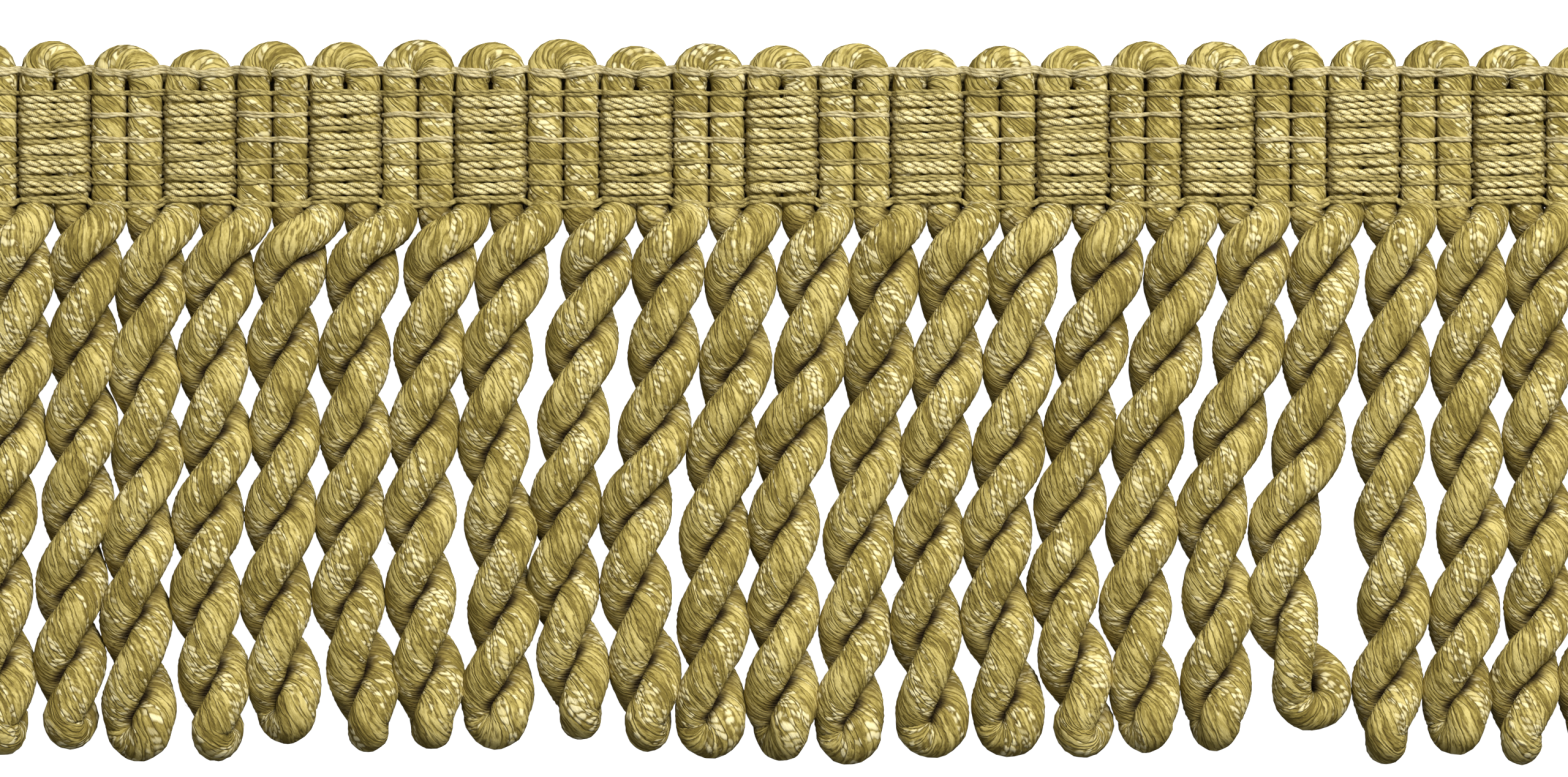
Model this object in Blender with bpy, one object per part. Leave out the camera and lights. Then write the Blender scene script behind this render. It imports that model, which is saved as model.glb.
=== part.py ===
# Cord fringe trim, a cut length lying on its back.
# One continuous cord makes the arches, the paired legs and the twisted bullions.
# Frame: X along the trim, Y from the tips to the arches, Z up to the face, resting plane at Z = 0.
# Sizes are in millimetres and become metres when a mesh is made.

import math

import bmesh
import bpy
import numpy as np

MM = 0.001

ARCH_COUNT = 25            # arches along the length, the middle one is number 0
ARCH_PITCH = 7.7           # from arch to arch
LEG_HALF_GAP = 1.75        # from an arch's centre to either leg's centre
LEG_HALF_WIDTH = 1.45
LEG_HALF_DEPTH = 1.6
LEG_SIDES = [(-1.45, 0.45), (0.0, 1.6), (1.45, 0.45), (0.85, -1.6), (-0.85, -1.6)]

ARCH_TOP = 10.2            # height of a usual arch over the middle of the heading
ARCH_SEGMENTS = 6
HEADING_FOOT = -7.4        # where the legs end and the bullions begin
TOP_TO_ORIGIN = 27.9       # from the middle of the heading down to the frame's origin

LOW_LEGS = 1.6             # height of the wrapped legs' centres, flat on the surface
HIGH_LEGS = 2.6            # height of the plain legs' centres, over the floats behind them

LOBE = [(0.0, 0.95), (1.75, 1.65), (3.25, 0.0), (1.75, -1.65), (0.0, -0.95)]
BULLION_AXIS = 3.15
BULLION_CLEAR = 6.95       # least distance between the centres of neighbouring bullions
CROTCH_DEPTH = 8.8         # depth at which two legs have become one bullion
TWIST_START = 6.0
TURNS_BETWEEN = 5          # half turns between a bullion's first and last crossing
BODY_SECTIONS = 14
TIP_LENGTH = 4.0           # the twist stops this far above a tip
TIP_SECTIONS = [(2.0, 0.9), (0.7, 0.72), (0.0, 0.4)]

FLOAT_THICK = 0.6
FLOAT_OVER = 3.8           # centre height of the fancy threads over wrapped legs
FLOAT_UNDER = 0.3          # and behind plain legs
FLOAT_TOP = 5.6
FLOAT_FOOT = -6.35
END_REACH = 3.6            # the threads run this far past an end arch's centre

EDGE_BINDER = (6.95, 7.9)
FOOT_BINDER = (-7.35, -6.7)
BINDER_HEIGHTS = (4.5, 5.1)

# Each bullion, from left to right. The six leans are its centre's offset in X from its own top,
# at the depths below. First and last are the depths where its two plies lie side by side.
LEAN_DEPTHS = [14, 23, 32, 41, 50, 59]
BULLIONS = [
    # lean14 lean23 lean32 lean41 lean50 lean59 first  last   tip
    (-0.20, -0.50, -1.50, -2.20, -2.60, -2.00, 14.2, 56.8, 64.6),
    (+0.15, +0.10, -0.85, -1.85, -2.15, -1.55, 14.5, 56.5, 65.0),
    (-0.45, -0.75, -0.95, -1.45, -2.15, -2.05, 13.6, 55.5, 64.5),
    (-0.95, -1.95, -1.45, -2.55, -2.85, -2.55, 16.0, 60.0, 65.7),
    (-1.65, -2.45, -2.05, -3.05, -3.15, -2.00, 15.2, 57.0, 65.7),
    (-1.95, -2.65, -2.45, -2.95, -3.45, -2.45, 13.4, 57.5, 63.8),
    (-1.95, -2.85, -2.65, -3.35, -3.35, -1.50, 14.5, 57.0, 64.7),
    (-1.55, -2.65, -3.25, -3.65, -3.45, -2.45, 13.5, 57.0, 64.4),
    (-1.55, -3.25, -3.55, -2.75, -2.45, -3.15, 14.3, 58.8, 64.4),
    (-0.45, -2.05, -2.85, -3.75, -3.65, -2.15, 13.3, 55.5, 63.4),
    (-0.45, -0.95, -2.05, -4.15, -3.65, -2.60, 14.0, 56.3, 64.7),
    (-0.45, -0.95, -2.25, -3.15, -3.35, -3.65, 14.8, 60.5, 65.3),
    (-0.45, -0.75, -2.85, -3.65, -3.65, -3.85, 14.5, 58.5, 65.7),
    (-0.75, -1.05, -2.35, -3.25, -3.65, -4.40, 14.7, 61.0, 66.0),
    (-0.95, -1.65, -2.85, -3.55, -4.05, -3.35, 15.0, 60.8, 65.3),
    (-1.45, -1.75, -2.75, -4.15, -4.25, -3.05, 14.8, 60.0, 65.2),
    (-0.25, -2.05, -3.25, -4.35, -4.85, -2.80, 13.5, 55.5, 65.3),
    (-0.15, -1.65, -3.65, -4.25, -4.95, -3.90, 14.5, 58.3, 64.8),
    (-0.25, -0.75, -2.85, -4.65, -3.75, -4.20, 12.8, 57.5, 64.6),
    (-0.45, -0.85, -1.95, -4.55, -4.85, -1.45, 14.4, 61.0, 62.4),
    (+0.15, -0.65, -1.25, -1.05, -0.65, -1.45, 15.0, 57.7, 66.0),
    (-0.15, -0.65, -0.75, -0.05, -0.95, -1.75, 15.0, 58.8, 65.0),
    (-0.55, -0.95, -0.85, -0.65, -0.75, -2.50, 14.3, 57.8, 66.0),
    (-0.40, -0.80, -1.00, -1.20, -1.40, -3.00, 14.0, 57.0, 64.5),
]

CORD_COLOUR = (0.47, 0.37, 0.15)
FLOAT_COLOUR = (0.62, 0.52, 0.27)
PALE_COLOUR = (0.60, 0.50, 0.30)


def clear_scene():
    for thing in list(bpy.data.objects):
        bpy.data.objects.remove(thing, do_unlink=True)


def make_material(name, colour, roughness):
    material = bpy.data.materials.new(name)
    material.use_nodes = True
    shader = material.node_tree.nodes["Principled BSDF"]
    shader.inputs["Base Color"].default_value = (*colour, 1.0)
    shader.inputs["Roughness"].default_value = roughness
    shader.inputs["Metallic"].default_value = 0.0
    return material


class Shell:
    # A closed surface gathered ring by ring.

    def __init__(self):
        self.points = []
        self.faces = []

    def ring(self, points):
        first = len(self.points)
        self.points.extend(points)
        return list(range(first, len(self.points)))

    def bridge(self, upper, lower):
        count = len(upper)
        for i in range(count):
            j = (i + 1) % count
            self.faces.append((upper[i], upper[j], lower[j], lower[i]))

    def cap(self, ring):
        self.faces.append(tuple(ring))

    def make_object(self, name, material):
        mesh = bpy.data.meshes.new(name)
        placed = [(x * MM, (y + TOP_TO_ORIGIN) * MM, z * MM) for x, y, z in self.points]
        mesh.from_pydata(placed, [], self.faces)
        work = bmesh.new()
        work.from_mesh(mesh)
        bmesh.ops.recalc_face_normals(work, faces=work.faces)
        bmesh.ops.triangulate(work, faces=work.faces)
        work.to_mesh(mesh)
        work.free()
        mesh.materials.append(material)
        thing = bpy.data.objects.new(name, mesh)
        bpy.context.collection.objects.link(thing)
        return thing


def arch_numbers():
    half = ARCH_COUNT // 2
    return range(-half, half + 1)


def leg_height(arch):
    return LOW_LEGS if arch % 2 == 0 else HIGH_LEGS


def arch_rings(shell, arch):
    # Rings from the foot of the left leg, over the arch, to the foot of the right leg.
    centre = arch * ARCH_PITCH
    height = leg_height(arch)
    spring = ARCH_TOP - LEG_HALF_GAP - LEG_HALF_WIDTH
    stations = [(-LEG_HALF_GAP, HEADING_FOOT, 0.0)]
    for i in range(ARCH_SEGMENTS + 1):
        angle = math.pi * i / ARCH_SEGMENTS
        stations.append((-LEG_HALF_GAP * math.cos(angle), spring + LEG_HALF_GAP * math.sin(angle), angle))
    stations.append((LEG_HALF_GAP, HEADING_FOOT, math.pi))
    rings = []
    for x, y, angle in stations:
        inward = (math.cos(angle), -math.sin(angle))
        rings.append(shell.ring([
            (centre + x + u * inward[0], y + u * inward[1], height + v) for u, v in LEG_SIDES]))
    for upper, lower in zip(rings, rings[1:]):
        shell.bridge(upper, lower)
    return rings[0], rings[-1]


def bullion_centres():
    # The centre of every bullion at each depth of the table, kept clear of its left neighbour.
    first = -(ARCH_COUNT // 2)
    rows = []
    for i, row in enumerate(BULLIONS):
        top = (first + i + 0.5) * ARCH_PITCH
        centres = [top + lean for lean in row[:len(LEAN_DEPTHS)]]
        if rows:
            centres = [max(x, left + BULLION_CLEAR) for x, left in zip(centres, rows[-1][1:])]
        rows.append([top] + centres)
    return rows


def twist_at(depth, first, last, tip):
    stop = min(depth, tip - TIP_LENGTH)
    rate = math.pi * TURNS_BETWEEN / (last - first)
    if stop < first:
        return math.pi * (stop - TWIST_START) / (first - TWIST_START)
    return math.pi + rate * (stop - first)


def lobed_ring(shell, centre, depth, twist, scale):
    # Eight points around two plies: the waist, the right lobe, the waist and the left lobe.
    right = LOBE
    left = [(-u, v) for u, v in reversed(LOBE[1:4])]
    points = []
    for u, v in right + left:
        x = (u * math.cos(twist) - v * math.sin(twist)) * scale
        z = (u * math.sin(twist) + v * math.cos(twist)) * scale
        points.append((centre + x, -depth, max(0.0, BULLION_AXIS + z)))
    return shell.ring(points)


def bullion(shell, centres, row, left_leg, right_leg):
    # Two legs meet in a crotch and go on as one twisted, two-lobed tooth with a round tip.
    first, last, tip = row[len(LEAN_DEPTHS):]
    depths = [-HEADING_FOOT] + LEAN_DEPTHS
    body_end = tip - TIP_LENGTH
    sections = [(depth, 1.0) for depth in np.linspace(CROTCH_DEPTH, body_end, BODY_SECTIONS)]
    sections += [(tip - above, scale) for above, scale in TIP_SECTIONS]
    rings = []
    for depth, scale in sections:
        centre = float(np.interp(depth, depths, centres))
        rings.append(lobed_ring(shell, centre, float(depth), twist_at(depth, first, last, tip), scale))
    top = rings[0]
    shell.bridge(right_leg, [top[0], top[1], top[2], top[3], top[4]])
    shell.bridge(left_leg, [top[0], top[7], top[6], top[5], top[4]])
    for upper, lower in zip(rings, rings[1:]):
        shell.bridge(upper, lower)
    shell.cap(rings[-1])


def bullion_cord(material):
    shell = Shell()
    feet = [arch_rings(shell, arch) for arch in arch_numbers()]
    shell.cap(feet[0][0])
    shell.cap(feet[-1][1])
    for i, (row, centres) in enumerate(zip(BULLIONS, bullion_centres())):
        bullion(shell, centres, row, feet[i][1], feet[i + 1][0])
    return shell.make_object("bullion_cord", material)


def fancy_warps(material):
    # A ribbon over the wrapped legs, down between the pairs, and behind the plain legs.
    half = FLOAT_THICK / 2
    arches = list(arch_numbers())
    shell = Shell()
    rings = []

    def station(x_low, z_low, x_high, z_high):
        rings.append(shell.ring([(x_low, FLOAT_FOOT, z_low), (x_high, FLOAT_FOOT, z_high),
                                 (x_high, FLOAT_TOP, z_high), (x_low, FLOAT_TOP, z_low)]))

    left_end = arches[0] * ARCH_PITCH - END_REACH
    station(left_end, FLOAT_OVER - half, left_end, FLOAT_OVER + half)
    for arch in arches[:-1]:
        slot = (arch + 0.5) * ARCH_PITCH
        down = 1 if arch % 2 == 0 else -1
        over = (slot - down * half, FLOAT_OVER - half, slot + down * half, FLOAT_OVER + half)
        under = (slot - down * half, FLOAT_UNDER - half, slot + down * half, FLOAT_UNDER + half)
        for corner in ((over, under) if down == 1 else (under, over)):
            station(*corner)
    right_end = arches[-1] * ARCH_PITCH + END_REACH
    station(right_end, FLOAT_OVER - half, right_end, FLOAT_OVER + half)
    for upper, lower in zip(rings, rings[1:]):
        shell.bridge(upper, lower)
    shell.cap(rings[0])
    shell.cap(rings[-1])
    return shell.make_object("fancy_warps", material)


def binder(name, span, material):
    # A taut thread across the raised legs.
    reach = (ARCH_COUNT // 2) * ARCH_PITCH + END_REACH
    low, high = BINDER_HEIGHTS
    shell = Shell()
    rings = [shell.ring([(x, span[0], low), (x, span[1], low), (x, span[1], high), (x, span[0], high)])
             for x in (-reach, reach)]
    shell.bridge(*rings)
    shell.cap(rings[0])
    shell.cap(rings[1])
    return shell.make_object(name, material)


def build():
    clear_scene()
    cord = make_material("khaki_cord", CORD_COLOUR, 0.75)
    shiny = make_material("shiny_thread", FLOAT_COLOUR, 0.45)
    pale = make_material("pale_binder", PALE_COLOUR, 0.8)
    bullion_cord(cord)
    fancy_warps(shiny)
    binder("edge_binder", EDGE_BINDER, pale)
    binder("foot_binder", FOOT_BINDER, cord)


build()
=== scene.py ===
import math

import bpy
import numpy as np
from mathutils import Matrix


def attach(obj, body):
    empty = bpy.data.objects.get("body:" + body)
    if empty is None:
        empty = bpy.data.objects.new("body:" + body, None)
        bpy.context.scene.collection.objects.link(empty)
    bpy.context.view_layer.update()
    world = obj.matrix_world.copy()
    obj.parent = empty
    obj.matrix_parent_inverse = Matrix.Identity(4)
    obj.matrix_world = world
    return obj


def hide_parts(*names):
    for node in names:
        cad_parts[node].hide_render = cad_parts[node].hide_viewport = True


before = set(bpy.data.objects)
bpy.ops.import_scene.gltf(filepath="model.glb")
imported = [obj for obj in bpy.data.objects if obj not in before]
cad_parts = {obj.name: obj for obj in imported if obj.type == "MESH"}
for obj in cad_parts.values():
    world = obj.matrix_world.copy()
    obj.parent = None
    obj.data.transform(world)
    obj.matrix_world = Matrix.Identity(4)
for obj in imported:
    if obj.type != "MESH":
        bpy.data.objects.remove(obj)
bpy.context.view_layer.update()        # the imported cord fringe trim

mm = 0.001               # lengths are in millimetres until a mesh is made
fullTurn = 2 * math.pi

trim = {
    "arches": 25,             # along the length, the middle one is number 0
    "pitch": 7.7,             # from arch to arch
    "headingMiddle": 27.9,    # Y of the middle of the heading in the frame
    "headingFoot": 7.4,       # depth below that where the bullions begin
    "seed": 11,
}
firstArch = -(trim["arches"] // 2)

# Added to the trim's seed, so that every kind of piece has its own random draws.
seeds = {
    "bullion": 0,
    "arch": 100,
    "twist": 300,
    "fancy": 500,
    "binder": 700,
    "ground": 900,
    "stray": 1000,
}

# Where the pattern of each thread starts along an endless cord, so that no two look alike: the
# first thread's place, and the distance from one thread to the next.
patternStarts = {
    "bullion": (0.0, 180.0),
    "arch": (5000.0, 60.0),
    "fancy": (0.0, 300.0),
    "binder": (7000.0, 300.0),
    "ground": (9000.0, 200.0),
}


def patternStart(kind, index):
    first, apart = patternStarts[kind]
    return first + index * apart


def randomFor(kind, index=0):
    return np.random.default_rng(trim["seed"] + seeds[kind] + index)


def smoothStep(value, low, high):
    t = np.clip((np.asarray(value, float) - low) / (high - low), 0, 1)
    return t * t * (3 - 2 * t)


def unit(vectors):
    return vectors / np.maximum(np.linalg.norm(vectors, axis=-1, keepdims=True), 1e-9)


def lengthAlong(points):
    return np.concatenate([[0], np.cumsum(np.linalg.norm(np.diff(points, axis=0), axis=1))])


def evenSamples(points, step):
    along = lengthAlong(points[:, :3])
    count = max(4, int(round(along[-1] / step)) + 1)
    places = np.linspace(0, along[-1], count)
    return np.stack([np.interp(places, along, points[:, i]) for i in range(points.shape[1])], axis=1)


def evenRoute(points, step):
    # a smooth curve through the points, sampled at an even distance
    points = np.asarray(points, float)
    before = np.vstack([2 * points[0] - points[1], points[:-1]])
    after = np.vstack([points[1:], 2 * points[-1] - points[-2]])
    slopes = (after - before) / 2
    fine = []
    for t in np.linspace(0, 1, 8, endpoint=False):
        start = 2 * t**3 - 3 * t**2 + 1
        leave = t**3 - 2 * t**2 + t
        arrive = t**3 - t**2
        fine.append(start * points[:-1] + leave * slopes[:-1]
                    + (1 - start) * points[1:] + arrive * slopes[1:])
    dense = np.stack(fine, axis=1).reshape(-1, points.shape[1])
    return evenSamples(np.vstack([dense, points[-1]]), step)


def restingFrames(route):
    # tangents, and side vectors that turn about the route as little as they can
    tangents = unit(np.gradient(route, axis=0))
    sides = np.zeros_like(route)
    side = np.array([0.0, 0.0, 1.0]) if abs(tangents[0][2]) < 0.9 else np.array([1.0, 0.0, 0.0])
    for i, tangent in enumerate(tangents):
        side = side - tangent * np.dot(side, tangent)
        side = side / np.linalg.norm(side)
        sides[i] = side
    return tangents, sides


def sweep(route, shape, outward=None, layRate=0.0, startAt=0.0, stretch=1.0):
    # Carries a cross-section along a route. shape(along) gives the radial and the sideways
    # distance and the angle. Returns rings of points, and each point's place in the straight cord.
    tangents, sides = restingFrames(route)
    along = lengthAlong(route)
    if outward is None:
        first = sides
    else:
        first = unit(outward - tangents * np.sum(outward * tangents, axis=1, keepdims=True))
    second = np.cross(tangents, first)
    cross = np.cross(tangents, sides)
    offset = np.unwrap(np.arctan2(np.sum(first * cross, axis=1), np.sum(first * sides, axis=1)))
    radial, sideways, angle = shape(along)
    points = (route[:, None, :] + first[:, None, :] * radial[..., None]
              + second[:, None, :] * sideways[..., None])
    laid = angle + offset[:, None] + layRate * (along[:, None] + startAt)
    length = np.broadcast_to(stretch * (along[:, None] + startAt), laid.shape)
    return points, np.stack([np.cos(laid), np.sin(laid), length], axis=-1)


def ringFaces(rings, sides, base):
    i, j = np.meshgrid(np.arange(rings - 1), np.arange(sides), indexing="ij")
    k = (j + 1) % sides
    quads = np.stack([i * sides + j, i * sides + k, (i + 1) * sides + k, (i + 1) * sides + j], axis=-1)
    return (quads.reshape(-1, 4) + base).tolist()


class Cloth:
    # gathers swept threads into one piece

    def __init__(self, name):
        self.name = name
        self.points = []
        self.faces = []
        self.places = []
        self.shades = []
        self.count = 0

    def add(self, points, place, shade):
        rings, sides = points.shape[:2]
        self.faces.extend(ringFaces(rings, sides, self.count))
        first = list(range(self.count, self.count + sides))
        last = list(range(self.count + (rings - 1) * sides, self.count + rings * sides))
        self.faces.append(first[::-1])
        self.faces.append(last)
        self.points.append(points.reshape(-1, 3))
        self.places.append(place.reshape(-1, 3))
        self.shades.append(shade.reshape(-1))
        self.count += rings * sides

    def make(self, material):
        points = np.vstack(self.points) + np.array([0, trim["headingMiddle"], 0])
        mesh = bpy.data.meshes.new(self.name)
        mesh.from_pydata((points * mm).tolist(), [], self.faces)
        place = mesh.attributes.new("lay", "FLOAT_VECTOR", "POINT")
        place.data.foreach_set("vector", np.vstack(self.places).astype(np.float32).ravel())
        # the painted shade of each point: 1 where there is none, low where the painted shade is darkest
        shade = mesh.attributes.new("open", "FLOAT", "POINT")
        shade.data.foreach_set("value", np.concatenate(self.shades).astype(np.float32))
        mesh.polygons.foreach_set("use_smooth", np.ones(len(mesh.polygons), bool))
        mesh.materials.append(material)
        mesh.update()
        piece = bpy.data.objects.new(self.name, mesh)
        bpy.context.scene.collection.objects.link(piece)
        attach(piece, "root")
        return piece


class Wire:
    # one socket, so that shader maths reads as plain sums

    def __init__(self, nodes, socket):
        self.nodes = nodes
        self.socket = socket

    def maths(self, operation, first, second=0.0):
        return self.nodes.node("ShaderNodeMath", {"operation": operation}, {0: first, 1: second})

    def __add__(self, other):
        return self.maths("ADD", self, other)

    def __radd__(self, other):
        return self.maths("ADD", other, self)

    def __sub__(self, other):
        return self.maths("SUBTRACT", self, other)

    def __rsub__(self, other):
        return self.maths("SUBTRACT", other, self)

    def __mul__(self, other):
        return self.maths("MULTIPLY", self, other)

    def __truediv__(self, other):
        return self.maths("DIVIDE", self, other)

    def __pow__(self, other):
        return self.maths("POWER", self, other)

    def __mod__(self, other):
        return self.maths("FLOORED_MODULO", self, other)

    def floor(self):
        return self.maths("FLOOR", self)

    def fract(self):
        return self.maths("FRACT", self)

    def size(self):
        return self.maths("ABSOLUTE", self)


class Nodes:
    # the one way that nodes are made

    def __init__(self, tree):
        self.tree = tree

    def node(self, kind, settings=None, inputs=None, output=0):
        made = self.tree.nodes.new(kind)
        for key, value in (settings or {}).items():
            if key == "stops":
                self.fillRamp(made.color_ramp, value)
            else:
                setattr(made, key, value)
        for key, value in (inputs or {}).items():
            self.feed(made.inputs[key], value)
        return Wire(self, made.outputs[output])

    def feed(self, socket, value):
        if isinstance(value, Wire):
            self.tree.links.new(value.socket, socket)
        else:
            socket.default_value = value

    def fillRamp(self, ramp, stops):
        while len(ramp.elements) > 1:
            ramp.elements.remove(ramp.elements[-1])
        ramp.elements[0].position = stops[0][0]
        ramp.elements[0].color = (*stops[0][1], 1)
        for position, colour in stops[1:]:
            ramp.elements.new(position).color = (*colour, 1)

    def parts(self, vector):
        split = self.node("ShaderNodeSeparateXYZ", inputs={0: vector})
        return [Wire(self, output) for output in split.socket.node.outputs]


class Finish(Nodes):
    # a material, and what its colours and bumps are made with

    def __init__(self, name, constants):
        self.material = bpy.data.materials.new(name)
        self.material.use_nodes = True
        super().__init__(self.material.node_tree)
        self.shader = self.tree.nodes["Principled BSDF"]
        for socket, value in constants.items():
            self.shader.inputs[socket].default_value = value

    def attribute(self, name, output):
        return self.node("ShaderNodeAttribute", {"attribute_name": name}, output=output)

    def place(self):
        return self.node("ShaderNodeTexCoord", output="Object")

    def vector(self, x, y, z):
        return self.node("ShaderNodeCombineXYZ", inputs={0: x, 1: y, 2: z})

    def noise(self, vector, scale, detail=2.0, roughness=0.5):
        return self.node("ShaderNodeTexNoise", {"noise_dimensions": "3D"},
                         {"Vector": vector, "Scale": scale, "Detail": detail, "Roughness": roughness})

    def random(self, x, y):
        return self.node("ShaderNodeTexWhiteNoise", {"noise_dimensions": "2D"},
                         {"Vector": self.vector(x, y, 0.0)})

    def ease(self, value, low, high):
        return self.node("ShaderNodeMapRange", {"interpolation_type": "SMOOTHSTEP"},
                         {"Value": value, "From Min": low, "From Max": high})

    def ramp(self, value, stops):
        return self.node("ShaderNodeValToRGB", {"stops": stops}, {0: value})

    def blend(self, amount, first, second):
        first = first if isinstance(first, Wire) else (*first, 1)
        second = second if isinstance(second, Wire) else (*second, 1)
        return self.node("ShaderNodeMix", {"data_type": "RGBA", "clamp_factor": True},
                         {0: amount, 6: first, 7: second}, output=2)

    def bump(self, height):
        return self.node("ShaderNodeBump", inputs={"Height": height, "Distance": mm})

    def finish(self, **sockets):
        for name, value in sockets.items():
            self.feed(self.shader.inputs[name.replace("_", " ")], value)
        return self.material


cordFinish = {
    "yarns": 13,                      # yarns around the cord
    "wander": 3.2,                    # how many yarns' widths a yarn strays sideways
    "deepShade": (0.020, 0.011, 0.003),    # painted shade in the creases
    "groove": (0.155, 0.106, 0.023),  # painted shade between the yarns and the pearls, and in the creases
    "olive": (0.215, 0.160, 0.031),
    "khaki": (0.405, 0.316, 0.080),
    "straw": (0.655, 0.540, 0.190),   # the lit backs of the matte yarns
    "cream": (0.920, 0.820, 0.465),   # pearls where the shiny yarns turn up: their pale colour, with painted highlights
    "pearlLength": 0.78,
    "ridge": 0.080,                   # height of a yarn's back
    "lightness": -1.66,               # of the matte yarns
    "roughness": 0.80,
    "pearlGloss": 0.36,               # how much less rough a pearl is
    "gloss": 0.15,
}


def makeCordMaterial():
    look = cordFinish
    f = Finish("khakiCord", {"Specular IOR Level": look["gloss"]})
    x, y, s = f.parts(f.attribute("lay", "Vector"))
    turn = f.node("ShaderNodeMath", {"operation": "ARCTAN2"}, {0: y, 1: x}) / fullTurn
    wander = f.noise(f.vector(x * 1.4, y * 1.4, s * 0.28), 1.3, 2.0)
    strands = turn * look["yarns"] + (wander - 0.5) * look["wander"]
    index = strands.floor() % look["yarns"]
    across = strands.fract()
    edge = (across - 0.5).size() * 2
    back = 1 - edge ** 1.8
    chance = f.random(index, 3.7)

    # matte yarns have fine fibres along them, and lighter and darker patches
    fibres = f.noise(f.vector(x * 15, y * 15, s * 2.3), 1.0, 3.0, 0.6)
    mottle = f.noise(f.vector(x * 2.2, y * 2.2, s * 0.55), 1.0, 2.0, 0.6)
    patch = f.noise(f.place(), 130.0, 2.0)

    # shiny yarns lie in bundles, and show as rows of pearls: their pale colour with painted highlights
    bundle = f.ease(f.noise(f.vector(x, y, s * 0.035), 1.5, 0.0) + x * 0.15, 0.50, 0.58)
    march = s / look["pearlLength"] + chance * 7 - across * 0.5
    cell = march.floor()
    within = march.fract()
    oval = 1 - ((across - 0.5) / 0.56) ** 2 - ((within - 0.5) / 0.44) ** 2
    shown = f.ease(f.random(index, cell), 0.30, 0.80)
    pearl = f.ease(oval, -0.30, 0.95) * bundle * shown

    # painted shade in the grooves between the yarns, missing here and there
    creviced = f.ease(f.noise(f.vector(x * 2.4, y * 2.4, s * 0.9), 1.6, 1.0), 0.40, 0.64)
    groove = f.ease(edge, 0.40, 0.98) * creviced
    # painted shade in the twists between the pearls
    gap = f.ease(1 - oval, 0.70, 1.60) * bundle
    # back adds painted light to the middle of each yarn; the other terms are the yarns' own tone
    lit = back * 0.42 + fibres * 0.95 + mottle * 1.30 + chance * 0.34 + patch * 0.95
    lit = lit + look["lightness"]
    colour = f.ramp(lit, [(0.08, look["olive"]), (0.40, look["khaki"]), (0.76, look["straw"])])
    colour = f.blend(groove * 0.74, colour, look["groove"])
    colour = f.blend(gap * 0.50, colour, look["groove"])
    colour = f.blend(pearl * 0.90, colour, look["cream"])
    # painted shade in the creases between the strands and the gaps between the legs, from the shade
    # carried by the mesh
    paintedShade = 1 - f.attribute("open", "Fac")
    colour = f.blend(f.ease(paintedShade, 0.0, 0.70) * 0.75, colour, look["groove"])
    colour = f.blend(f.ease(paintedShade, 0.40, 0.98), colour, look["deepShade"])

    height = back * look["ridge"] + fibres * 0.055 + pearl * 0.05 - groove * 0.03
    roughness = look["roughness"] - pearl * look["pearlGloss"]
    return f.finish(Base_Color=colour, Roughness=roughness, Normal=f.bump(height))


threadFinishes = {
    "shiny": {
        "deepShade": (0.095, 0.064, 0.014), "shade": (0.320, 0.248, 0.068),
        "body": (0.520, 0.418, 0.138), "light": (0.880, 0.780, 0.420),
        "groove": 0.80, "dabs": 0.25, "roughness": 0.34, "gloss": 0.45,
    },
    "khaki": {
        "deepShade": (0.085, 0.058, 0.013), "shade": (0.220, 0.170, 0.046),
        "body": (0.430, 0.345, 0.112), "light": (0.640, 0.535, 0.225),
        "groove": 0.30, "dabs": 0.08, "roughness": 0.66, "gloss": 0.25,
    },
    "pale": {
        "deepShade": (0.130, 0.092, 0.028), "shade": (0.400, 0.320, 0.130),
        "body": (0.620, 0.530, 0.275), "light": (0.820, 0.730, 0.450),
        "groove": 0.12, "dabs": 0.05, "roughness": 0.70, "gloss": 0.25,
    },
}


def makeThreadMaterial(name, look):
    f = Finish(name, {"Specular IOR Level": look["gloss"]})
    x, y, s = f.parts(f.attribute("lay", "Vector"))
    fibres = f.noise(f.vector(x * 1.6, y * 1.6, s * 1.2), 2.4, 2.0, 0.6)
    patch = f.noise(f.place(), 420.0, 1.0)
    ply = x.size()                       # 1 on the back of a ply, 0 in the groove between two
    dabs = f.ease((s * 3.4 + y * 0.8).fract(), 0.0, 0.45)
    # painted shade in the groove between the plies; ply in lit paints light on their backs
    groove = f.ease(1 - ply, 0.55, 1.0) * look["groove"]
    lit = ply * 0.45 + dabs * look["dabs"] + (fibres - 0.5) * 0.9 + (patch - 0.5) * 0.7
    colour = f.ramp(lit, [(0.05, look["shade"]), (0.40, look["body"]), (0.80, look["light"])])
    colour = f.blend(groove, colour, look["deepShade"])
    # painted shade where a thread dives between the legs or lies behind them, from the shade carried by
    # the mesh
    colour = f.blend((1 - f.attribute("open", "Fac")) * 0.9, colour, look["deepShade"])
    height = fibres * 0.04 + dabs * 0.03 - groove * 0.08
    roughness = look["roughness"] + fibres * 0.15
    return f.finish(Base_Color=colour, Roughness=roughness, Normal=f.bump(height))


cordMaterial = makeCordMaterial()
finishes = {
    "shiny": makeThreadMaterial("shinyThread", threadFinishes["shiny"]),
    "khaki": makeThreadMaterial("khakiBinder", threadFinishes["khaki"]),
    "pale": makeThreadMaterial("paleBinder", threadFinishes["pale"]),
}
print("finishes made")


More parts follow.
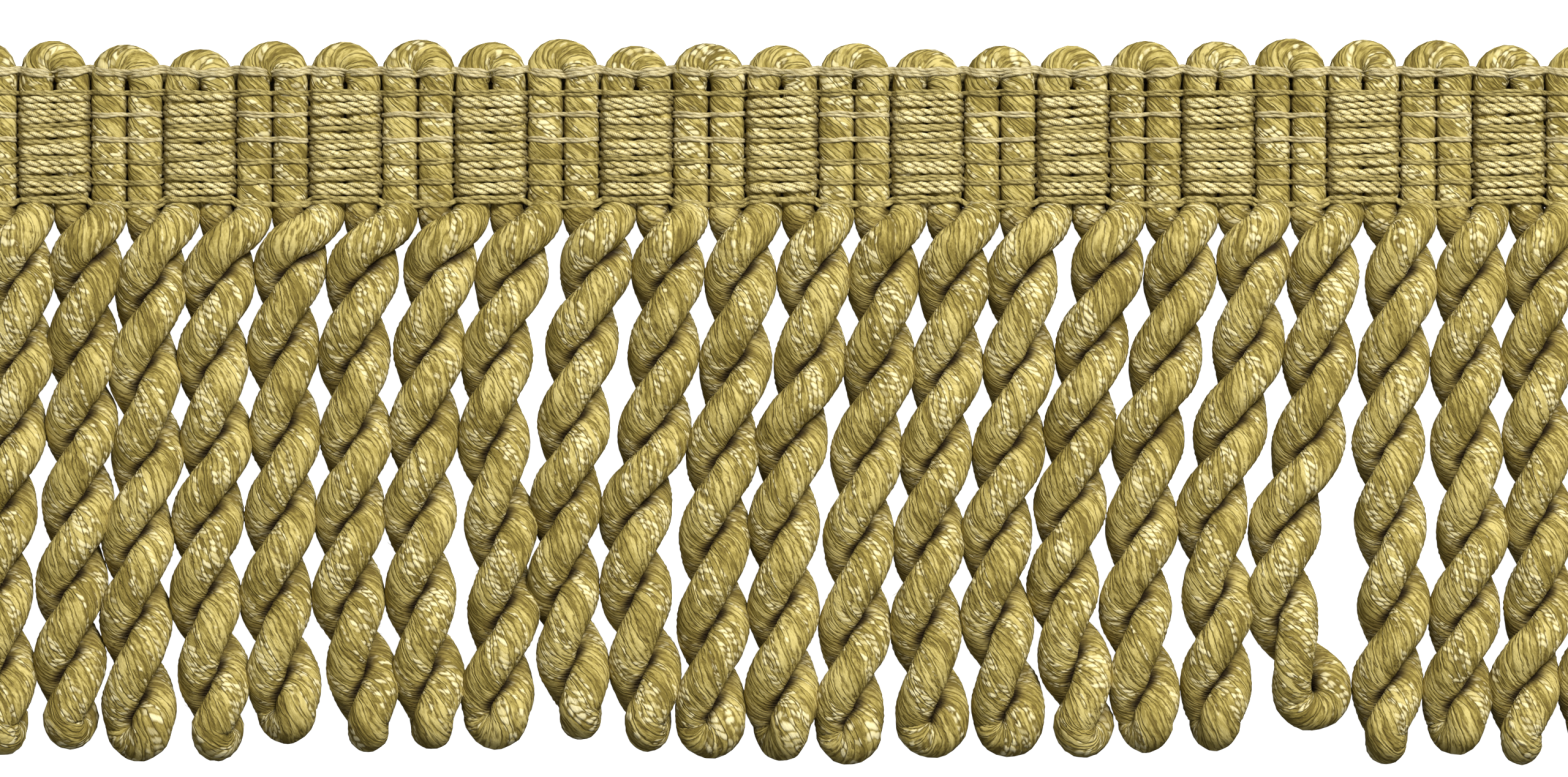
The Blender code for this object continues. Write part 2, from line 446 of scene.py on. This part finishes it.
cord = {
    "plyRadius": 2.12,        # of a strand in a bullion
    "plyOffset": 1.76,        # from a bullion's axis to its strands
    "axisHeight": 4.15,
    "legRadius": 1.84,
    "legOffset": 1.89,        # from an arch's centre to either leg
    "legHeight": 2.75,        # of the legs' centres
    "plainRise": 0.20,        # more height for the legs that the fancy threads pass behind
    "archTop": 10.2,
    "plyTurn": 0.80,          # turn of the yarns about a bullion's strands, radians for each mm
    "legTurn": 0.60,          # and about the legs
    "ringStep": 0.45,
    "sides": 26,
    "twistStart": 6.7,        # depth where the legs begin to turn round each other
    "turnsBetween": 5,        # half turns between the first and the last crossing
    "pressed": 0.12,          # what is left of the part of a strand pressed against the other
    "swell": 1.04,            # of the legs between the threads that tie them
    "tiePinch": 0.13,
    "tieReach": 0.45,
    "eyePinch": 0.08,         # how much thinner the legs are at the eye of an arch
    "eyeApart": 0.12,         # and how much further apart
    "squareness": 2.5,        # of the legs' cross-section, 2 is round
    "plainSeam": 6.95,        # depths under the foot thread where the arches' legs end
    "wrappedSeam": 6.35,
}

# Each bullion, from left to right. The six leans are its centre's offset in X from its own top,
# at these depths. First and last are the depths where its two strands lie side by side. Loop is
# half the width of the fold at the tip.
leanDepths = [14, 23, 32, 41, 50, 59]
bullionTable = [
    # lean14 lean23 lean32 lean41 lean50 lean59 first  last   tip  loop
    (-0.20, -0.50, -1.50, -2.20, -2.60, -2.00, 14.2, 56.8, 64.6, 1.7),
    (+0.15, +0.10, -0.85, -1.85, -2.15, -1.55, 14.5, 56.5, 65.0, 1.7),
    (-0.45, -0.75, -0.95, -1.45, -2.15, -2.05, 13.6, 55.5, 64.5, 1.5),
    (-0.95, -1.95, -1.45, -2.55, -2.85, -2.55, 16.0, 60.0, 65.7, 1.9),
    (-1.65, -2.45, -2.05, -3.05, -3.15, -2.00, 15.2, 57.0, 65.7, 1.6),
    (-1.95, -2.65, -2.45, -2.95, -3.45, -2.45, 13.4, 57.5, 63.8, 1.9),
    (-1.95, -2.85, -2.65, -3.35, -3.35, -1.50, 14.5, 57.0, 64.7, 1.6),
    (-1.55, -2.65, -3.25, -3.65, -3.45, -2.45, 13.5, 57.0, 64.4, 1.6),
    (-1.55, -3.25, -3.55, -2.75, -2.45, -3.15, 14.3, 58.8, 64.4, 1.8),
    (-0.45, -2.05, -2.85, -3.75, -3.65, -2.15, 13.3, 55.5, 63.4, 1.6),
    (-0.45, -0.95, -2.05, -4.15, -3.65, -2.60, 14.0, 56.3, 64.7, 1.6),
    (-0.45, -0.95, -2.25, -3.15, -3.35, -3.65, 14.8, 60.5, 65.3, 1.7),
    (-0.45, -0.75, -2.85, -3.65, -3.65, -3.85, 14.5, 58.5, 65.7, 2.1),
    (-0.75, -1.05, -2.35, -3.25, -3.65, -4.40, 14.7, 61.0, 66.0, 1.6),
    (-0.95, -1.65, -2.85, -3.55, -4.05, -3.35, 15.0, 60.8, 65.3, 1.8),
    (-1.45, -1.75, -2.75, -4.15, -4.25, -3.05, 14.8, 60.0, 65.2, 1.8),
    (-0.25, -2.05, -3.25, -4.35, -4.85, -2.80, 13.5, 55.5, 65.3, 1.6),
    (-0.15, -1.65, -3.65, -4.25, -4.95, -3.90, 14.5, 58.3, 64.8, 1.6),
    (-0.25, -0.75, -2.85, -4.65, -3.75, -4.20, 12.8, 57.5, 64.6, 1.7),
    (-0.45, -0.85, -1.95, -4.55, -4.85, -1.45, 14.4, 58.5, 62.4, 2.1),
    (+0.15, -0.65, -1.25, -1.05, -0.65, -1.45, 15.0, 57.7, 66.0, 1.7),
    (-0.15, -0.65, -0.75, -0.05, -0.95, -1.75, 15.0, 58.8, 65.0, 1.6),
    (-0.55, -0.95, -0.85, -0.65, -0.75, -2.50, 14.3, 57.8, 66.0, 1.6),
    (-0.40, -0.80, -1.00, -1.20, -1.40, -3.00, 14.0, 57.0, 64.5, 1.7),
]


def legHeight(arch):
    return cord["legHeight"] + cord["plainRise"] * (arch % 2)


def seamDepth(arch):
    return cord["plainSeam"] if arch % 2 else cord["wrappedSeam"]


def bullionAxis(number, depths):
    # the axis of a bullion in X, with its slope, at each depth
    row = bullionTable[number]
    top = (firstArch + number + 0.5) * trim["pitch"]
    knots = np.array([[trim["headingFoot"], 0]] + [[d, lean] for d, lean in zip(leanDepths, row)])
    knots = np.vstack([knots, [row[8], row[5]]])
    line = evenRoute(np.column_stack([knots, np.zeros(len(knots))]), 0.4)
    line = line[np.argsort(line[:, 0])]
    centre = top + np.interp(depths, line[:, 0], line[:, 1])
    return centre, np.gradient(centre, depths)


def twistAt(number, depths):
    first, last = bullionTable[number][6:8]
    rate = math.pi * cord["turnsBetween"] / (last - first)
    early = math.pi * (depths - cord["twistStart"]) / (first - cord["twistStart"])
    return np.where(depths < first, early, math.pi + rate * (depths - first))


def bullionStrand(number, sign, depths, offset):
    # one strand of a bullion: the right-hand one with sign +1, the left-hand one with -1
    centre, slope = bullionAxis(number, depths)
    twist = twistAt(number, depths)
    down = unit(np.stack([slope, -np.ones_like(slope), np.zeros_like(slope)], axis=1))
    side = np.stack([-down[:, 1], down[:, 0], np.zeros_like(slope)], axis=1)
    up = np.array([0.0, 0.0, 1.0])
    outward = sign * (side * np.cos(twist)[:, None] + up * np.sin(twist)[:, None])
    axis = np.stack([centre, -depths, np.full_like(depths, cord["axisHeight"])], axis=1)
    arch = firstArch + number + (1 if sign > 0 else 0)
    legX = arch * trim["pitch"] - sign * cord["legOffset"]
    leg = np.stack([np.full_like(depths, legX), -depths, np.full_like(depths, legHeight(arch))], axis=1)
    foot = trim["headingFoot"]
    joined = smoothStep(depths, foot - 1.2, foot + 4.2)[:, None]
    route = leg * (1 - joined) + (axis + outward * offset[:, None]) * joined
    plump = smoothStep(depths, foot - 1.4, foot + 1.0)
    radius = cord["legRadius"] + (cord["plyRadius"] - cord["legRadius"]) * plump
    beside = np.cos(twist) ** 2          # 1 where the strands lie side by side
    return np.column_stack([route, outward, offset, radius, beside]), down, axis


def bullionRoute(number):
    # Down one strand, round the fold at the tip, and up the other. The columns are the place,
    # the direction away from the axis, the distance from it, the strand's radius, and how far
    # the strands lie side by side.
    tip, loop = bullionTable[number][8:10]
    foldAt = tip - loop - cord["plyRadius"] + 0.2
    strands = []
    for sign in (1, -1):
        start = seamDepth(firstArch + number + (1 if sign > 0 else 0))
        depths = np.append(np.arange(start, foldAt, 0.25), foldAt)
        offset = cord["plyOffset"] + (loop - cord["plyOffset"]) * smoothStep(depths, foldAt - 6, foldAt)
        strands.append(bullionStrand(number, sign, depths, offset))
    downward, heading, axis = strands[0]
    upward = strands[1][0]
    turn = np.linspace(0, math.pi, 18)[1:-1][:, None]
    radial = downward[-1, 3:6] * np.cos(turn) + heading[-1] * np.sin(turn)
    same = np.ones(len(turn))
    fold = np.column_stack([axis[-1] + radial * loop, radial, same * loop,
                            same * cord["plyRadius"], same])
    table = np.vstack([downward, fold, upward[::-1]])
    return evenSamples(table, cord["ringStep"]), axis


def unevenness(along, laid, phases):
    # a soft cord swells and thins a little, and its yarns don't lie level
    return (0.016 * np.sin(along * 0.9 + phases[0]) + 0.014 * np.sin(along * 0.37 + phases[1])
            + 0.016 * np.sin(3 * laid + phases[2] + 0.5 * np.sin(along * 0.5 + phases[3]))
            + 0.014 * np.sin(5 * laid + phases[4]) + 0.012 * np.sin(9 * laid + phases[5]))


def cordAngles():
    return np.linspace(0, fullTurn, cord["sides"], endpoint=False)[None, :]


def stretchFor(turnRate, radius):
    return math.hypot(1, turnRate * radius)


def nearestOther(points, route, apart):
    # from each point, the distance to the line of the cord's other parts, and the place there
    farAway = 99.0
    along = lengthAlong(route)
    others = route[::2]
    spread = np.linalg.norm(points[:, :, None, :] - others[None, None, :, :], axis=3)
    far = np.abs(along[:, None] - along[None, ::2]) > apart
    spread = np.where(far[:, None, :], spread, farAway)
    return spread.min(axis=2), others[spread.argmin(axis=2)]


stray = {
    "onBullion": 26,         # fibres on each bullion
    "onArch": 12,
    "thick": 0.045,
    "shortest": 0.5,
    "longest": 1.2,
    "lift": 0.18,
    "rings": 6,
    "sides": 3,
    "fromCrease": 0.1,       # they stray where the cord rubs, near its creases
    "toCrease": 0.6,
    "fromEnd": 4,            # rings at the cord's ends that have none
}
strayRoots = []              # where stray fibres leave the cord, in which direction


def chooseRoots(points, route, creaseShade, turned, rng, count):
    rings, sides = points.shape[:2]
    rubbed = (creaseShade > stray["fromCrease"]) & (creaseShade < stray["toCrease"])
    ringList, sideList = np.nonzero(rubbed)
    inner = (ringList >= stray["fromEnd"]) & (ringList < rings - stray["fromEnd"])
    chosen = rng.choice(np.nonzero(inner)[0], count, replace=False)
    i = ringList[chosen]
    j = sideList[chosen]
    roots = points[i, j]
    normals = unit(roots - route[i])
    around = unit(points[i, (j + 1) % sides] - points[i, j - 1])
    yarns = unit(unit(route[i + 1] - route[i - 1]) - around * turned)
    strayRoots.extend(zip(roots, normals, yarns))


def makeBullion(number):
    table, axis = bullionRoute(number)
    route = table[:, :3]
    rng = randomFor("bullion", number)
    phases = rng.uniform(0, fullTurn, 8)

    def shape(along):
        s = along[:, None]
        a = cordAngles()
        radius = table[:, 7:8] * (1 + unevenness(s, a + cord["plyTurn"] * s, phases))
        radial = radius * np.cos(a)
        flat = 0.04 - table[:, 6:7]
        pressed = np.where(radial < flat, flat + (radial - flat) * cord["pressed"], radial)
        return pressed, radius * np.sin(a), np.broadcast_to(a, pressed.shape)

    stretch = stretchFor(cord["plyTurn"], cord["plyRadius"])
    points, place = sweep(route, shape, unit(table[:, 3:6]), cord["plyTurn"],
                          patternStart("bullion", number), stretch)
    spread, other = nearestOther(points, route, 7.0)
    gap = spread - cord["plyRadius"]
    beside = table[:, 8:9]
    # painted shade: depth and under paint a shadow on a strand where it passes under the other, and gap
    # paints shade in the holes between the strands
    depth = np.abs(other[..., 2] - cord["axisHeight"]) - np.abs(points[..., 2] - cord["axisHeight"])
    under = smoothStep(depth, -0.2, 1.4)
    level = beside ** 3              # the painted shade in the holes between the strands is darkest where they lie level
    creaseShade = (1 - smoothStep(gap, 0.02, 0.70 + 1.15 * level)) * (0.27 + 0.73 * level)
    creaseShade = np.maximum(creaseShade, 0.66 * under * (1 - smoothStep(gap, 0.1, 3.2)))
    cloth = Cloth(f"bullion_{number + 1:02d}")
    cloth.add(points, place, 1 - creaseShade)
    turned = cord["plyTurn"] * cord["plyRadius"]
    chooseRoots(points, route, creaseShade, turned, rng, stray["onBullion"])
    piece = cloth.make(cordMaterial)
    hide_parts("bullion_cord")
    line = evenSamples(axis, 1.0)
    line = np.vstack([line, [line[-1][0], -bullionTable[number][8], line[-1][2]]])
    line[:, 1] += trim["headingMiddle"]


for number in range(len(bullionTable)):
    makeBullion(number)
print("bullions made")


# How much lower or higher than usual each arch's top is, from left to right.
archTops = [0.1, 0.2, 0.25, -0.1, -0.55, 0.2, 0.1, 0.4, 0.1, 0.5, -0.3, 0.0, -0.25,
            0.0, -0.6, -0.3, -0.25, 0.2, 0.2, 0.5, 0.35, 0.3, -0.2, -0.1, 0.1]
plainTies = [4.85, 2.57, -0.1, -2.4, -4.6, -7.0]
wrappedTies = [4.8, -6.4]


def eyeAt(levels, spring):
    # the legs stand a little apart and are thinner at the eye of the arch
    return np.exp(-((levels - spring + 0.6) / 0.8) ** 2)


def makeArch(arch):
    index = arch - firstArch
    centre = arch * trim["pitch"]
    plain = arch % 2 == 1
    rng = randomFor("arch", index)
    offset = cord["legOffset"]
    crown = offset + rng.uniform(-0.05, 0.12) - (0.0 if plain else 0.18)
    spring = cord["archTop"] + archTops[index] - crown - cord["legRadius"] - 0.05
    foot = -seamDepth(arch) - 0.3
    lean = rng.uniform(-0.25, 0.25)
    levels = np.append(np.linspace(foot, spring - 2.6, 8), [spring - 1.3, spring - 0.5])
    side = [(offset + cord["eyeApart"] * eye, y) for y, eye in zip(levels, eyeAt(levels, spring))]
    bend = [(crown * math.cos(a) + lean * math.sin(a), spring + crown * math.sin(a))
            for a in np.linspace(math.pi, 0, 9)]
    flat = evenRoute([(-x, y, 0) for x, y in side] + [(x, y, 0) for x, y in bend]
                     + [(x, y, 0) for x, y in side[::-1]], 0.5)
    route = flat + np.array([centre, 0, legHeight(arch)])
    phases = rng.uniform(0, fullTurn, 8)
    ties = plainTies if plain else wrappedTies

    def shape(along):
        s = along[:, None]
        a = cordAngles()
        pinch = sum(np.exp(-((route[:, 1] - tie) / cord["tieReach"]) ** 2) for tie in ties)[:, None]
        eye = eyeAt(route[:, 1], spring)[:, None]
        swell = (cord["swell"] - cord["tiePinch"] * pinch - cord["eyePinch"] * eye
                 + unevenness(s, a + cord["legTurn"] * s, phases))
        power = cord["squareness"]
        squarer = (np.abs(np.cos(a)) ** power + np.abs(np.sin(a)) ** power) ** (-1 / power)
        radius = cord["legRadius"] * swell * squarer
        return radius * np.cos(a), radius * np.sin(a), np.broadcast_to(a, radius.shape)

    stretch = stretchFor(cord["legTurn"], cord["legRadius"])
    points, place = sweep(route, shape, None, cord["legTurn"], patternStart("arch", index), stretch)
    # painted shade in the gaps between an arch's legs and between arches, deeper below the eye
    aside = np.abs(points[..., 0] - centre)
    below = smoothStep(spring + 0.8 - points[..., 1], 0, 1.6)
    inner = (1 - smoothStep(aside, 0.02, 0.45)) * (0.40 + 0.60 * below)
    outer = (1 - smoothStep(trim["pitch"] / 2 - aside, 0.0, 0.38)) * below
    creaseShade = 0.66 * np.maximum(inner, outer)
    cloth = Cloth(f"arch_{index + 1:02d}")
    cloth.add(points, place, 1 - creaseShade)
    turned = cord["legTurn"] * cord["legRadius"]
    chooseRoots(points, route, creaseShade, turned, rng, stray["onArch"])
    piece = cloth.make(cordMaterial)
    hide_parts("bullion_cord")


for arch in range(firstArch, -firstArch + 1):
    makeArch(arch)
print("arches made")


threads = {
    "step": 0.23,             # between rings of a fancy thread
    "sides": 9,
    "under": 0.46,            # height of the fancy threads behind plain legs
    "twist": 2.45,            # length of one full turn of a fancy thread's two plies
    "relief": 0.36,           # depth of the groove between its plies, as a part of its radius
    "slant": 0.12,            # rise of a fancy thread from the middle of a block to its right side
    "uneven": 0.19,           # how much its level and its slant change from block to block
    "blockHalf": 3.3,         # half the width of a block where binders lie level on it
    "edgeLevel": 6.0,         # binders above this lie on the arches
    "binderStep": 0.36,
    "binderTwist": 2.0,
    "binderRelief": 0.10,
    "binderSides": 7,
    "binderSeed": 40,
    "dark": 3.0,              # heights between which a binder comes out of the dark
    "open": 4.3,
    "end": 96.0,              # where the threads are cut, from the middle of the trim
}

# Each fancy thread: where it lies on the heading, its thickness and its finish.
fancyThreads = [
    # level thick finish
    (4.20, 0.80, "shiny"),
    (3.56, 0.72, "shiny"),
    (2.88, 0.80, "shiny"),
    (1.98, 0.82, "shiny"),
    (1.36, 0.56, "khaki"),
    (0.90, 0.54, "khaki"),
    (0.32, 0.76, "shiny"),
    (-0.24, 0.54, "khaki"),
    (-0.80, 0.74, "shiny"),
    (-1.42, 0.76, "shiny"),
    (-2.66, 0.80, "shiny"),
    (-3.46, 0.84, "shiny"),
    (-4.82, 0.74, "shiny"),
    (-5.50, 0.78, "shiny"),
]


def threadShape(thick, twist, seed, relief, sides=None):
    angle = np.linspace(0, fullTurn, sides or threads["sides"], endpoint=False)[None, :]
    rng = randomFor("twist", seed)
    start = rng.uniform(0, fullTurn)

    def shape(along):
        s = along[:, None]
        turned = angle - fullTurn * s / twist + start + 0.5 * np.sin(s * 0.7 + start)
        radius = thick / 2 * (1 - relief * (1 - np.abs(np.cos(turned)) ** 1.3))
        return radius * np.cos(angle), radius * np.sin(angle), turned

    return shape


def fancyRoute(level, thick, index):
    # over a pair of legs, down between the pairs, behind the next pair, and up again
    rng = randomFor("fancy", index)
    reach = cord["legOffset"] + cord["legRadius"]
    centreHeight = cord["legHeight"]
    over = centreHeight + cord["legRadius"] + thick * 0.32
    under = threads["under"]
    overHalf = [(0.0, over - 0.22), (0.9, over - 0.12), (1.9, over), (2.5, over - 0.08),
                (3.1, over - 0.42), (reach - 0.18, centreHeight + 0.95),
                (reach + 0.05, centreHeight + 0.1)]
    underHalf = [(0.0, under), (1.5, under), (2.9, under + 0.06), (3.5, under + 0.7)]
    knots = []
    for arch in range(firstArch, -firstArch + 1):
        drift = rng.uniform(-threads["uneven"], threads["uneven"])
        slant = threads["slant"] + rng.uniform(-threads["uneven"], threads["uneven"])
        half = underHalf if arch % 2 else overHalf
        profile = [(-x, z) for x, z in half[:0:-1]] + half
        for x, z in profile:
            knots.append((arch * trim["pitch"] + x, level + drift + slant * x / reach, z))
    route = evenRoute(knots, threads["step"])
    arch = np.round(route[:, 0] / trim["pitch"])
    hidden = (arch % 2 == 1) & (route[:, 2] < under + 0.3)
    keep = ~hidden | (np.arange(len(route)) % 2 == 0)
    return route[keep]


# Binding threads that run over every leg, and those that show over the plain legs alone. Lift is
# how much higher they lie on the blocks. Taut ones dip less between the legs.
binders = [
    # name             levels                 thick  over all finish  lift  taut
    ("edge_thread",    (7.34, 7.08, 6.82),    0.42, True, "pale", 0.0, 0.35),
    ("top_binder",     (5.00, 4.74),          0.40, True, "khaki", 0.0, 0.30),
    ("pale_binder_1",  (2.70, 2.46),          0.36, False, "pale", 0.0, 0.50),
    ("pale_binder_2",  (0.04, -0.20),         0.36, False, "pale", 0.0, 0.50),
    ("khaki_binder_1", (-2.28, -2.54),        0.40, True, "khaki", 0.35, 0.20),
    ("khaki_binder_2", (-4.46, -4.72),        0.40, True, "khaki", 0.40, 0.20),
    ("foot_thread",    (-6.78, -7.10),        0.48, True, "khaki", 0.50, 0.70),
]


def legFront(x, squash, taut):
    # height of the front of the legs at x, where a thread pulls them in and dips between them
    arch = np.round(x / trim["pitch"])
    away = np.abs(np.abs(x - arch * trim["pitch"]) - cord["legOffset"])
    radius = cord["legRadius"] * squash
    height = cord["legHeight"] + cord["plainRise"] * (arch % 2)
    rise = np.sqrt(np.maximum(radius ** 2 - away ** 2, 0))
    return height + np.maximum(rise, taut * radius), arch


def archFront(x, y):
    # height of the front of the arches at a place above the legs
    arch = np.round(x / trim["pitch"]).astype(int)
    tops = cord["archTop"] + np.array(archTops)[arch - firstArch]
    above = np.maximum(y - (tops - cord["legOffset"] - cord["legRadius"]), 0)
    radius = cord["legRadius"] * 0.95
    away = np.hypot(x - arch * trim["pitch"], above) - cord["legOffset"]
    height = cord["legHeight"] + cord["plainRise"] * (arch % 2)
    return height + np.maximum(np.sqrt(np.maximum(radius ** 2 - away ** 2, 0)), 0.35 * radius)


def soften(values, reach):
    kernel = np.hanning(reach + 2)[1:-1]
    padded = np.pad(values, reach // 2, mode="edge")
    return np.convolve(padded, kernel / kernel.sum(), mode="valid")


def binderRoute(level, thick, overAll, lift, taut, index):
    # over each leg, dipping between the legs, and behind the wrapped blocks if it isn't over all
    rng = randomFor("binder", index)
    x = np.arange(-threads["end"], threads["end"], 0.15)
    front, arch = legFront(x, 0.96, taut)
    wrapped = arch % 2 == 0
    aside = np.abs(x - arch * trim["pitch"])
    phases = rng.uniform(0, fullTurn, 3)
    wave = 0.09 * np.sin(x * 0.7 + phases[0]) + 0.06 * np.sin(x * 1.9 + phases[1])
    y = level + wave + lift * wrapped
    if level > threads["edgeLevel"]:
        y = y + 0.30 * smoothStep(aside, 2.6, 3.8) - 0.15 * (1 - smoothStep(aside, 0.3, 1.2))
        front = archFront(x, y) + 0.12
    elif overAll:
        blockFront = cord["legHeight"] + cord["legRadius"] + 0.1
        front = np.where(wrapped & (aside < threads["blockHalf"]), blockFront, front)
    else:
        behind = cord["legHeight"] - cord["legRadius"] - 0.25
        front = np.where(wrapped, behind, front)
    points = np.stack([x, soften(y, 9), soften(front, 5) + thick * 0.35], axis=1)
    return evenSamples(points, threads["binderStep"])


def threadShade(points):
    # darker where a thread dives between the legs
    darkest = 0.20
    return darkest + (1 - darkest) * smoothStep(points[..., 2], threads["dark"], threads["open"])


for index, (level, thick, kind) in enumerate(fancyThreads):
    route = fancyRoute(level, thick, index)
    shape = threadShape(thick, threads["twist"], index, threads["relief"])
    points, place = sweep(route, shape, startAt=patternStart("fancy", index))
    aside = np.abs(points[..., 0] - np.round(points[..., 0] / trim["pitch"]) * trim["pitch"])
    shade = 0.12 + 0.88 * smoothStep(trim["pitch"] / 2 - aside, 0.05, 0.85)
    cloth = Cloth(f"fancy_thread_{index + 1:02d}")
    cloth.add(points, place, shade)
    piece = cloth.make(finishes[kind])
    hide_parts("fancy_warps")
print("fancy threads made")

replaced = {"edge_thread": "edge_binder", "foot_thread": "foot_binder"}
for index, (name, levels, thick, overAll, kind, lift, taut) in enumerate(binders):
    cloth = Cloth(name)
    for strand, level in enumerate(levels):
        seed = index * 3 + strand
        route = binderRoute(level, thick, overAll, lift, taut, seed)
        shape = threadShape(thick, threads["binderTwist"], threads["binderSeed"] + seed,
                            threads["binderRelief"], threads["binderSides"])
        points, place = sweep(route, shape, startAt=patternStart("binder", index))
        cloth.add(points, place, threadShade(points))
    piece = cloth.make(finishes[kind])
    if name in replaced:
        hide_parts(replaced[name])
print("binders made")


ground = {
    "count": 25,              # threads that close the heading from behind, side by side
    "top": 6.9,
    "foot": -6.85,
    "thick": 0.72,
    "height": 1.0,
    "step": 1.1,
    "twist": 99.0,
    "shapeSeed": 90,
    "shade": 0.55,
}


def makeGround():
    cloth = Cloth("ground_threads")
    for index, level in enumerate(np.linspace(ground["foot"], ground["top"], ground["count"])):
        rng = randomFor("ground", index)
        x = np.arange(-threads["end"] + 0.3, threads["end"] - 0.3, ground["step"])
        wave = 0.05 * np.sin(x * 0.6 + rng.uniform(0, fullTurn))
        weave = 0.10 * np.cos(math.pi * (x / trim["pitch"] * 2 + index))
        route = np.stack([x, level + wave, ground["height"] + weave], axis=1)
        shape = threadShape(ground["thick"], ground["twist"], ground["shapeSeed"] + index, 0.0,
                            threads["binderSides"])
        points, place = sweep(route, shape, startAt=patternStart("ground", index))
        cloth.add(points, place, np.full(points.shape[:2], ground["shade"]))
    cloth.make(finishes["khaki"])


makeGround()


def fibreShape(radius, angle):
    def shape(along):
        return radius * np.cos(angle), radius * np.sin(angle), np.broadcast_to(angle, radius.shape)

    return shape


def makeStrayFibres():
    rng = randomFor("stray")
    cloth = Cloth("stray_fibres")
    angle = np.linspace(0, fullTurn, stray["sides"], endpoint=False)[None, :]
    t = np.linspace(0, 1, stray["rings"])[:, None]
    for root, normal, yarn in strayRoots:
        length = rng.uniform(stray["shortest"], stray["longest"])
        bend = unit(rng.normal(size=3)) * length * 0.25
        lift = rng.uniform(0.2, 1.0) * stray["lift"]
        rise = normal * (lift * np.sin(t * 2.2) - 0.05)
        route = root + yarn * length * t + bend * t ** 2 + rise
        route[:, 2] = np.maximum(route[:, 2], 0.05)
        radius = stray["thick"] / 2 * (1 - 0.6 * t) * np.ones_like(angle)
        points, place = sweep(route, fibreShape(radius, angle))
        cloth.add(points, place, np.ones(points.shape[:2]))
    cloth.make(finishes["khaki"])


makeStrayFibres()
print("ground threads and stray fibres made")


studio = {
    "floorDrop": 0.0004,
    "floorSize": 3.0,
    "camera": (0.00026, 0.0015, 0.9256),
    "lens": 200,
    "sensor": 36,
    "nearest": 0.01,
    "skyAbove": 0.36,
    "skyBelow": 0.04,
    "keyPlace": (0.36, 0.70, 0.98),
    "keySize": 0.4,
    "keyPower": 20,
}


def makeFloor():
    f = Finish("paleFloor", {"Roughness": 0.9, "Specular IOR Level": 0.0, "Emission Strength": 1.0})
    f.shader.inputs["Base Color"].default_value = (0.9, 0.9, 0.9, 1)
    f.shader.inputs["Emission Color"].default_value = (1, 1, 1, 1)
    half = studio["floorSize"] / 2
    mesh = bpy.data.meshes.new("floor")
    corners = [(-half, -half, 0), (half, -half, 0), (half, half, 0), (-half, half, 0)]
    mesh.from_pydata(corners, [], [(0, 1, 2, 3)])
    mesh.materials.append(f.material)
    floor = bpy.data.objects.new("floor", mesh)
    floor.location.z = -studio["floorDrop"]
    floor.visible_diffuse = False       # the white floor doesn't light the cords from below
    floor.visible_glossy = False
    floor.visible_shadow = False
    bpy.context.scene.collection.objects.link(floor)


def makeLamp(name, place, size, power):
    data = bpy.data.lights.new(name, "AREA")
    data.shape = "DISK"
    data.size = size
    data.energy = power
    lamp = bpy.data.objects.new(name, data)
    lamp.location = place
    x, y, z = place
    lamp.rotation_euler = (math.atan2(math.hypot(x, y), z), 0, math.atan2(x, -y))
    bpy.context.scene.collection.objects.link(lamp)


def makeWorld():
    world = bpy.data.worlds.new("softRoom")
    world.use_nodes = True
    air = Nodes(world.node_tree)
    height = air.parts(air.node("ShaderNodeTexCoord", output="Generated"))[2]
    light = air.node("ShaderNodeMapRange", inputs={
        "Value": height, "From Min": -0.2, "From Max": 0.8,
        "To Min": studio["skyBelow"], "To Max": studio["skyAbove"]})
    sky = air.tree.nodes["Background"]
    air.feed(sky.inputs["Color"], (1, 1, 1, 1))
    air.feed(sky.inputs["Strength"], light)
    bpy.context.scene.world = world


def makeCamera():
    data = bpy.data.cameras.new("view")
    data.lens = studio["lens"]
    data.sensor_width = studio["sensor"]
    data.clip_start = studio["nearest"]
    camera = bpy.data.objects.new("view", data)
    camera.location = studio["camera"]
    bpy.context.scene.collection.objects.link(camera)
    bpy.context.scene.camera = camera


makeFloor()
makeWorld()
makeLamp("keyLight", studio["keyPlace"], studio["keySize"], studio["keyPower"])
makeCamera()
bpy.context.scene.view_settings.view_transform = "Standard"
print("studio made")
